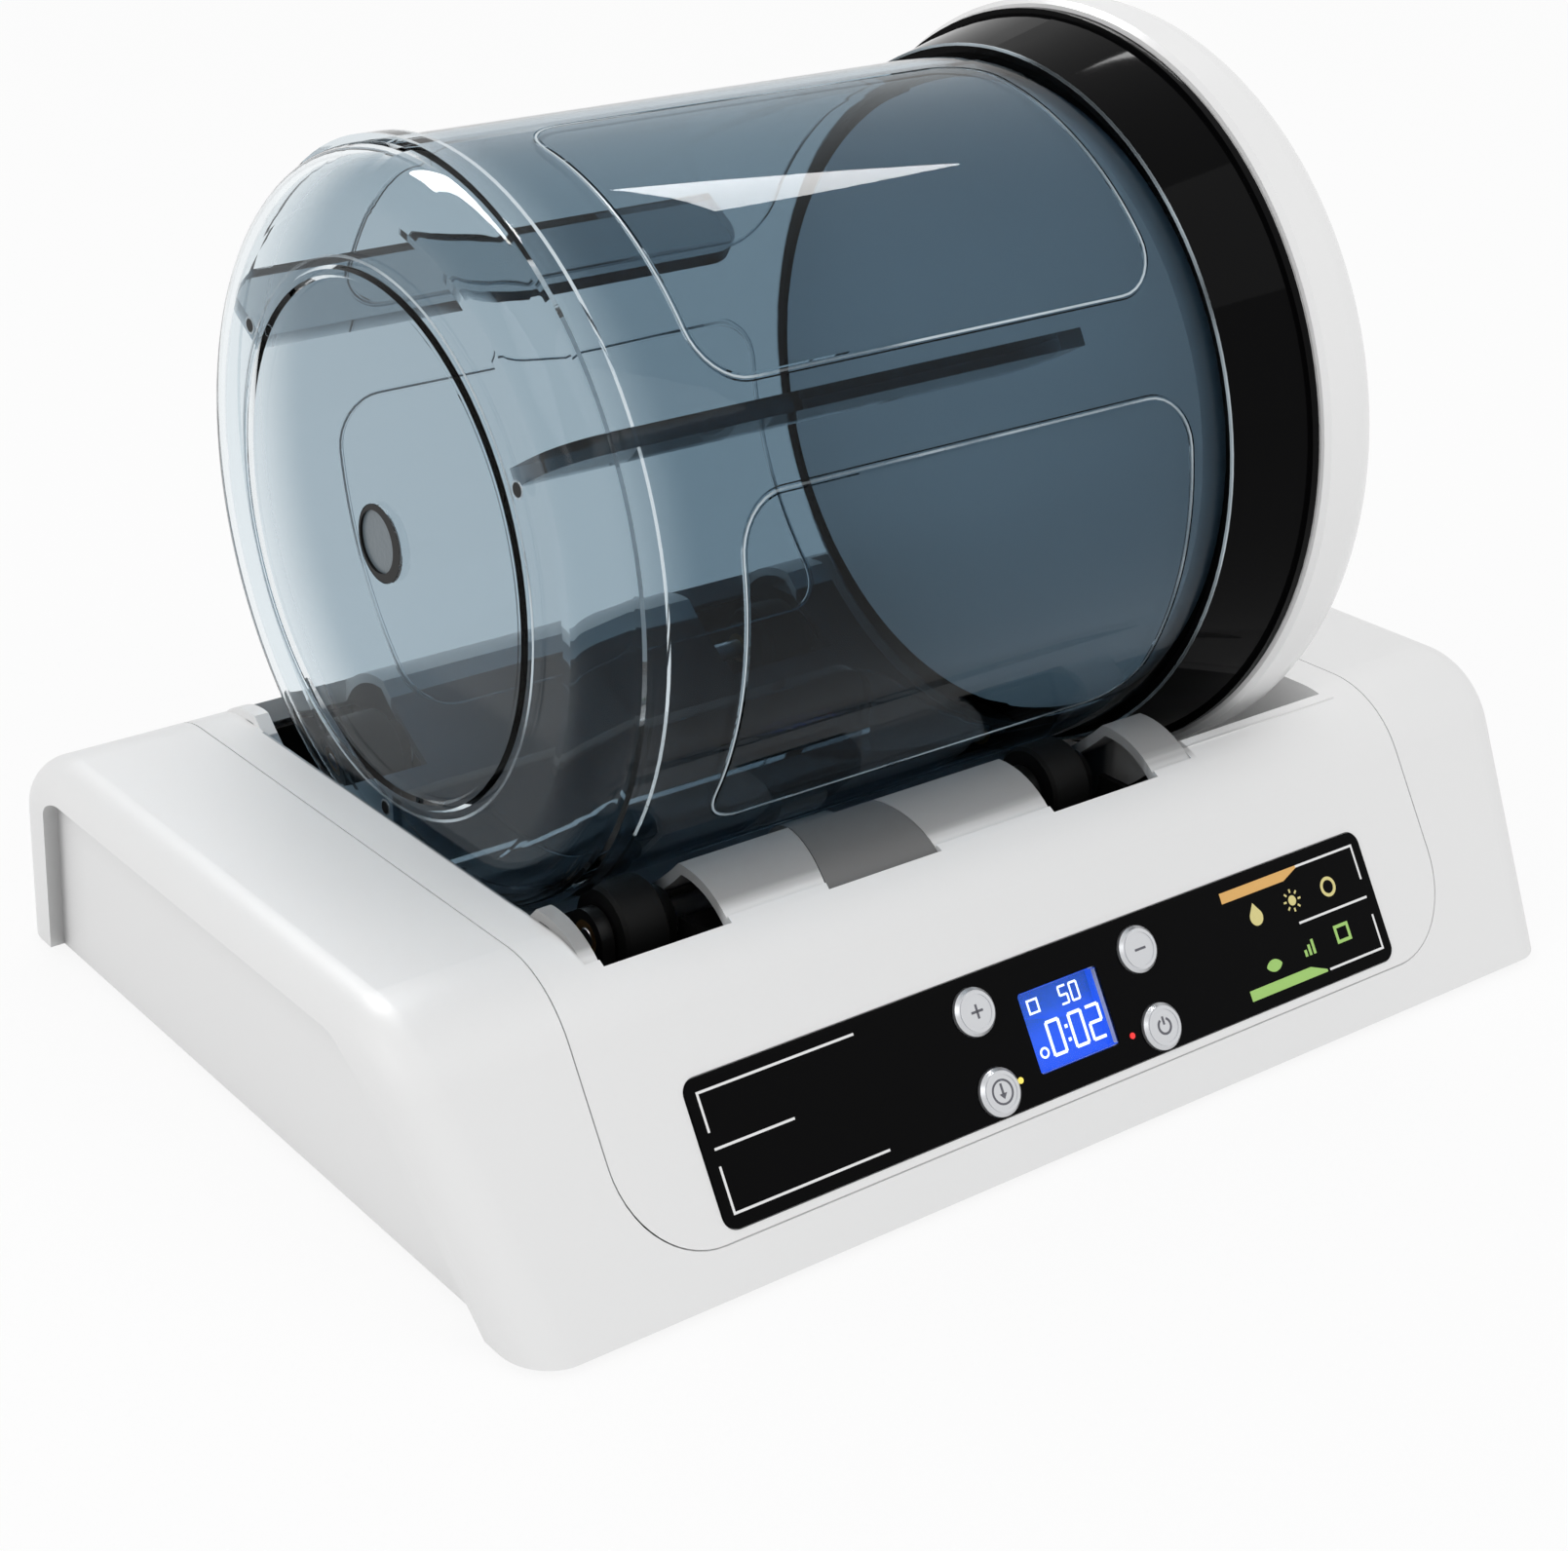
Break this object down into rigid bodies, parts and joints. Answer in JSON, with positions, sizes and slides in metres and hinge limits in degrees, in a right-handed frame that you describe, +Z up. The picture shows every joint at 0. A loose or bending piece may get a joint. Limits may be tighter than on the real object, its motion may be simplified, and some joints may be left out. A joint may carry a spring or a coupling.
{
  "type": "meat vacuum tumbler",
  "caption": "Countertop marinating tumbler: a smoked clear drum with a white twist lid lies on rubber rollers in a white sloped base with a control panel.",
  "frame": {"origin": "centre of the base on the table, under the feet", "axes": "+X along the drum towards its lid, the control panel faces -Y, +Z up"},
  "size_m": [0.399, 0.302, 0.2791],
  "materials": {
    "white_plastic": "glossy white moulding",
    "white_lid": "glossy white moulding",
    "smoked_clear": "clear smoked blue-grey",
    "black_gloss": "polished black",
    "black_plastic": "satin black",
    "grey_plastic": "satin grey",
    "clear_plastic": "satin pale grey",
    "black_rubber": "matt black",
    "grey_silicone": "matt grey",
    "steel": "ground steel",
    "motor_can": "zinc plated",
    "bronze": "sintered bronze",
    "gear_nylon": "natural nylon",
    "silver_button": "bright silver",
    "display_glass": "clear",
    "display_blue": "blue backlit",
    "board_green": "solder resist",
    "switch_black": "satin black"
  },
  "bodies": {
    "base": {"base_shell": "white_plastic", "top_cover": "white_plastic", "bottom_plate": "grey_plastic", "feet": "black_rubber", "floor_screws": "steel", "fascia": "black_gloss", "display_window": "display_glass", "display_module": "display_blue", "control_board": "board_green", "switches": "switch_black", "gearmotor": "motor_can", "motor_bracket": "steel", "gear_cover": "grey_plastic", "vacuum_pump": "motor_can", "pump_head": "black_plastic", "pump_cradle": "black_plastic", "air_tube": "black_rubber", "vacuum_port": "grey_plastic", "power_inlet": "grey_plastic", "power_board": "board_green", "front_brackets": "black_plastic", "rear_brackets": "black_plastic", "front_bushes": "bronze", "rear_bushes": "bronze"},
    "drum": {"drum_shell": "smoked_clear", "mouth_collar": "black_gloss", "baffles": "black_plastic"},
    "lid": {"lid": "white_lid", "lid_plug": "clear_plastic", "lid_seal": "grey_silicone", "rim_gasket": "grey_silicone", "valve_seat": "grey_plastic"},
    "valve_button": {"valve_button": "silver_button"},
    "plus_button": {"plus_button": "silver_button"},
    "minus_button": {"minus_button": "silver_button"},
    "vacuum_button": {"vacuum_button": "silver_button"},
    "power_button": {"power_button": "silver_button"},
    "front_rollers": {"front_shaft": "steel", "front_hubs": "black_plastic", "front_tyres": "black_rubber", "driven_gear": "gear_nylon"},
    "rear_rollers": {"rear_shaft": "steel", "rear_hubs": "black_plastic", "rear_tyres": "black_rubber"},
    "drive_gear": {"drive_gear": "gear_nylon", "motor_shaft": "steel"}
  },
  "joints": [
    {"name": "drum_spin", "type": "hinge", "parent": "base", "child": "drum", "pos_m": [0, 0, 0.16207], "axis": [1, 0, 0], "continuous": true},
    {"name": "lid_twist", "type": "hinge", "parent": "drum", "child": "lid", "pos_m": [0.1291, 0, 0.16207], "axis": [1, 0, 0], "range_deg": [0, 30]},
    {"name": "valve_press", "type": "slide", "parent": "lid", "child": "valve_button", "axis": [-1, 0, 0], "range_m": [0, 0.002], "stiffness_N_per_m": 600},
    {"name": "front_roller_spin", "type": "hinge", "parent": "base", "child": "front_rollers", "pos_m": [0, -0.0694, 0.0675], "axis": [1, 0, 0], "continuous": true},
    {"name": "rear_roller_spin", "type": "hinge", "parent": "base", "child": "rear_rollers", "pos_m": [0, 0.0694, 0.0675], "axis": [1, 0, 0], "continuous": true},
    {"name": "drive_gear_spin", "type": "hinge", "parent": "base", "child": "drive_gear", "pos_m": [0, -0.08425, 0.04178], "axis": [1, 0, 0], "continuous": true},
    {"name": "plus_button_press", "type": "slide", "parent": "base", "child": "plus_button", "axis": [0, 0.8622, -0.5065], "range_m": [0, 0.001], "stiffness_N_per_m": 900},
    {"name": "minus_button_press", "type": "slide", "parent": "base", "child": "minus_button", "axis": [0, 0.8622, -0.5065], "range_m": [0, 0.001], "stiffness_N_per_m": 900},
    {"name": "vacuum_button_press", "type": "slide", "parent": "base", "child": "vacuum_button", "axis": [0, 0.8622, -0.5065], "range_m": [0, 0.001], "stiffness_N_per_m": 900},
    {"name": "power_button_press", "type": "slide", "parent": "base", "child": "power_button", "axis": [0, 0.8622, -0.5065], "range_m": [0, 0.001], "stiffness_N_per_m": 900}
  ],
  "couplings": [
    {"joint": "front_roller_spin", "follows": "drum_spin", "ratio": -8},
    {"joint": "rear_roller_spin", "follows": "drum_spin", "ratio": -8},
    {"joint": "drive_gear_spin", "follows": "drum_spin", "ratio": 4}
  ]
}
